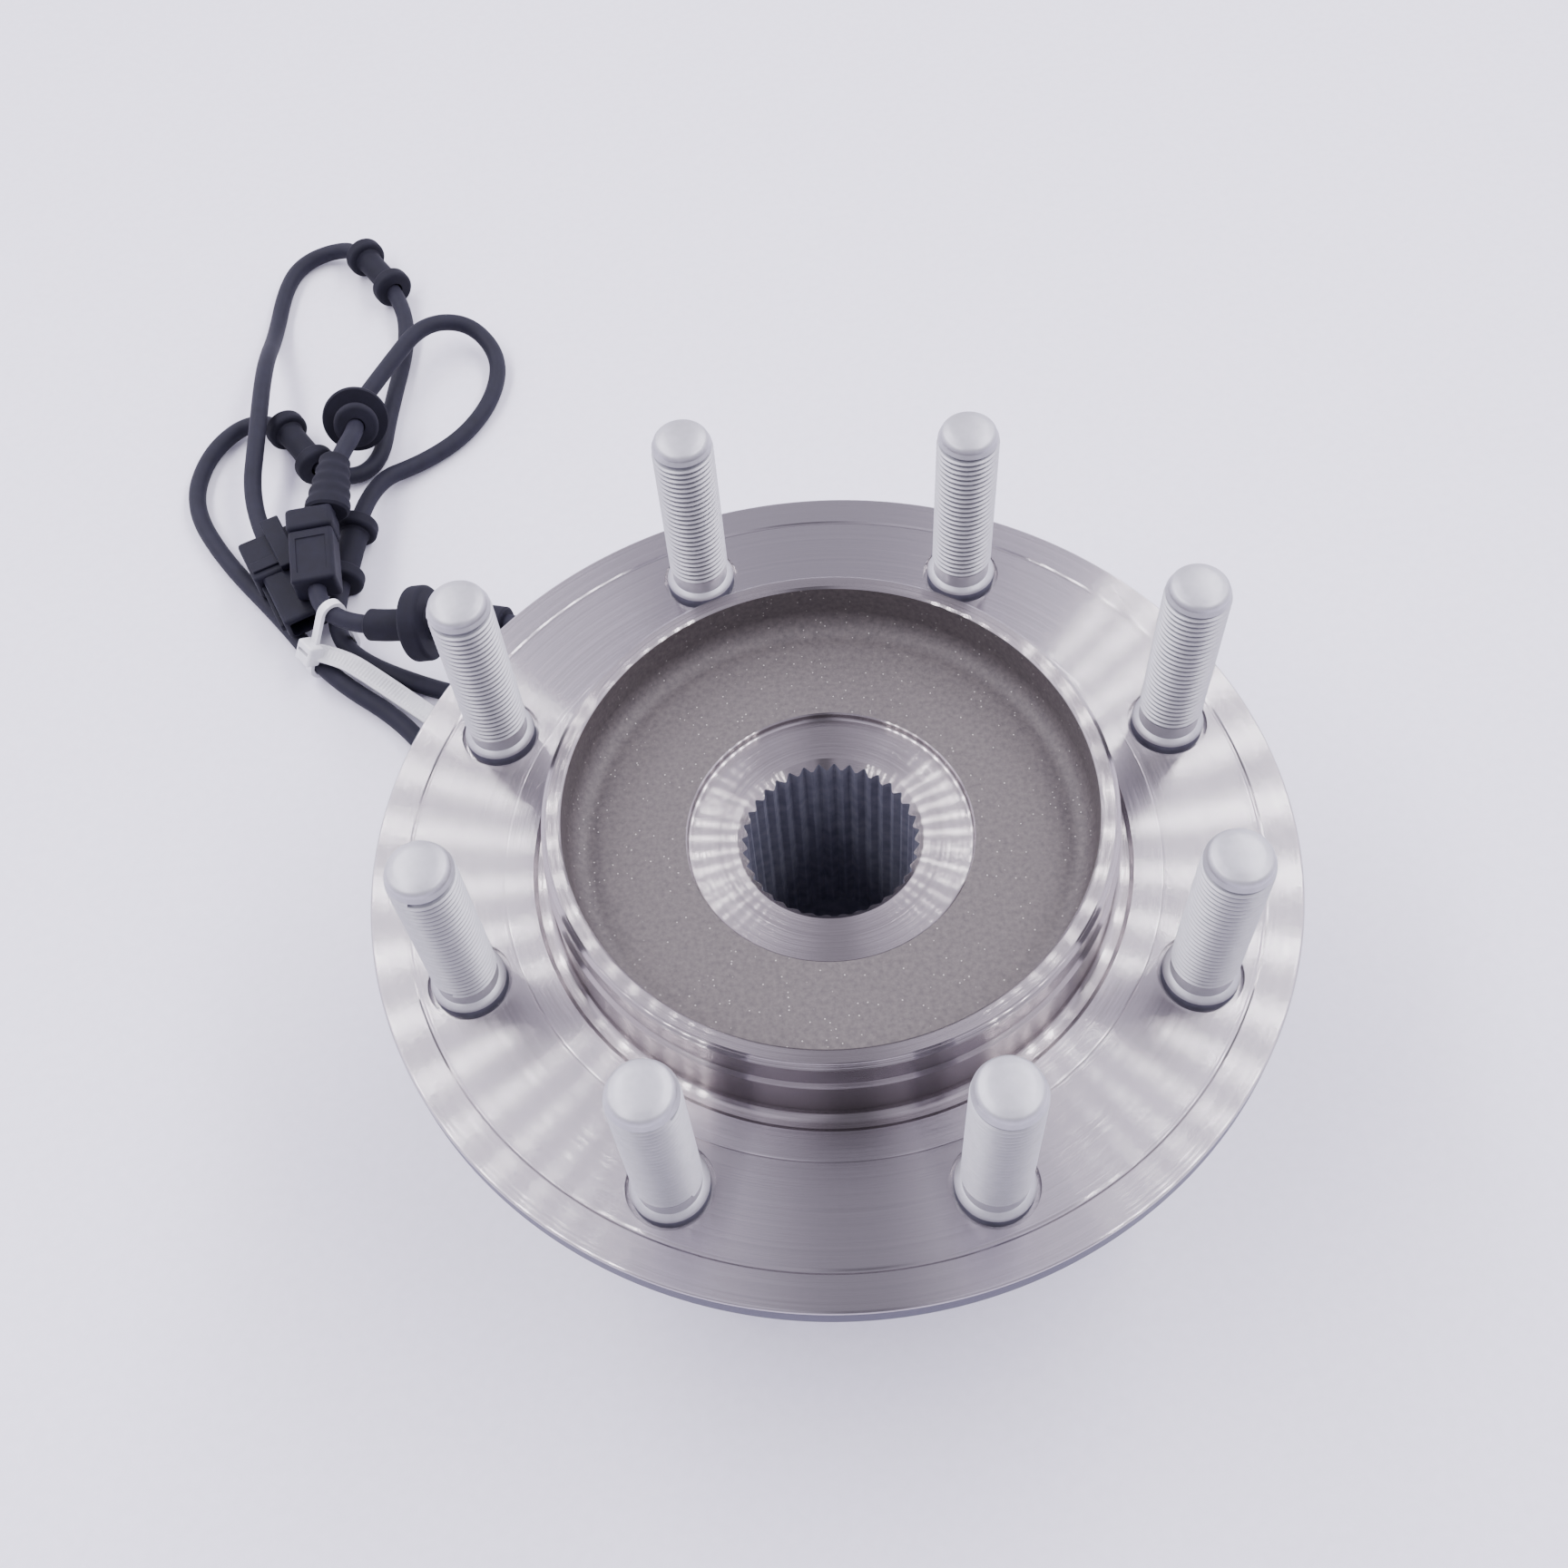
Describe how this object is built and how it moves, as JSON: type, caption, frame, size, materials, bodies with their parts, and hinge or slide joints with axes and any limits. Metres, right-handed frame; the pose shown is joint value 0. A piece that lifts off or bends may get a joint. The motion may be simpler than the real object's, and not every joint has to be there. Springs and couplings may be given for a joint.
{
  "type": "wheel hub bearing",
  "caption": "Front wheel hub and bearing unit for a four-wheel-drive pickup: studded flange with splined bore, bolted bearing housing, speed sensor with its lead and connector.",
  "frame": {"origin": "on the hub axis in the plane of the bearing housing's inboard end, which it stands on", "axes": "+Z along the hub axis towards the wheel, so the studs point up; the sensor leaves the housing 30 degrees past +Y towards -X"},
  "size_m": [0.2951, 0.419, 0.1354],
  "materials": {
    "forged_steel": "turned, lightly oiled",
    "zinc_flake_steel": "matt silver zinc flake coating",
    "bearing_steel": "ground and greased",
    "pressed_steel": "phosphated sheet",
    "sintered_steel": "steam treated powder metal",
    "black_nylon": "moulded, matt",
    "black_rubber": "moulded, matt",
    "tinned_brass": "tin plated",
    "white_nylon": "natural nylon"
  },
  "bodies": {
    "housing": {"bearing_housing": "forged_steel", "outboard_seal_case": "pressed_steel", "inboard_seal_case": "pressed_steel", "outboard_seal_lip": "black_rubber", "inboard_seal_lip": "black_rubber", "wheel_speed_sensor": "black_nylon", "sensor_bushing": "bearing_steel", "sensor_bolt": "zinc_flake_steel", "sensor_o_ring": "black_rubber", "speed_sensor_lead": "black_rubber", "sleeve_grommet": "black_rubber", "clip_grommet_lower": "black_rubber", "clip_grommet_left": "black_rubber", "clip_grommet_upper": "black_rubber", "dome_grommet": "black_rubber", "splice_block": "black_nylon", "splice_boot": "black_rubber", "connector_housing": "black_nylon", "connector_pins": "tinned_brass", "cable_tie": "white_nylon"},
    "hub": {"wheel_hub": "forged_steel", "wheel_studs": "zinc_flake_steel", "outboard_cone": "bearing_steel", "inboard_cone": "bearing_steel", "cone_spacer": "bearing_steel", "tone_ring": "sintered_steel", "outboard_seal_slinger": "pressed_steel", "inboard_seal_slinger": "pressed_steel"},
    "outboard_cage_set": {"outboard_cage": "pressed_steel", "outboard_rollers": "bearing_steel"},
    "inboard_cage_set": {"inboard_cage": "pressed_steel", "inboard_rollers": "bearing_steel"}
  },
  "joints": [
    {"name": "hub_spin", "type": "hinge", "parent": "housing", "child": "hub", "pos_m": [0, 0, 0], "axis": [0, 0, 1], "continuous": true},
    {"name": "outboard_cage_spin", "type": "hinge", "parent": "housing", "child": "outboard_cage_set", "pos_m": [0, 0, 0], "axis": [0, 0, 1], "continuous": true},
    {"name": "inboard_cage_spin", "type": "hinge", "parent": "housing", "child": "inboard_cage_set", "pos_m": [0, 0, 0], "axis": [0, 0, 1], "continuous": true}
  ],
  "couplings": [
    {"joint": "outboard_cage_spin", "follows": "hub_spin", "ratio": 0.4438},
    {"joint": "inboard_cage_spin", "follows": "hub_spin", "ratio": 0.4438}
  ]
}
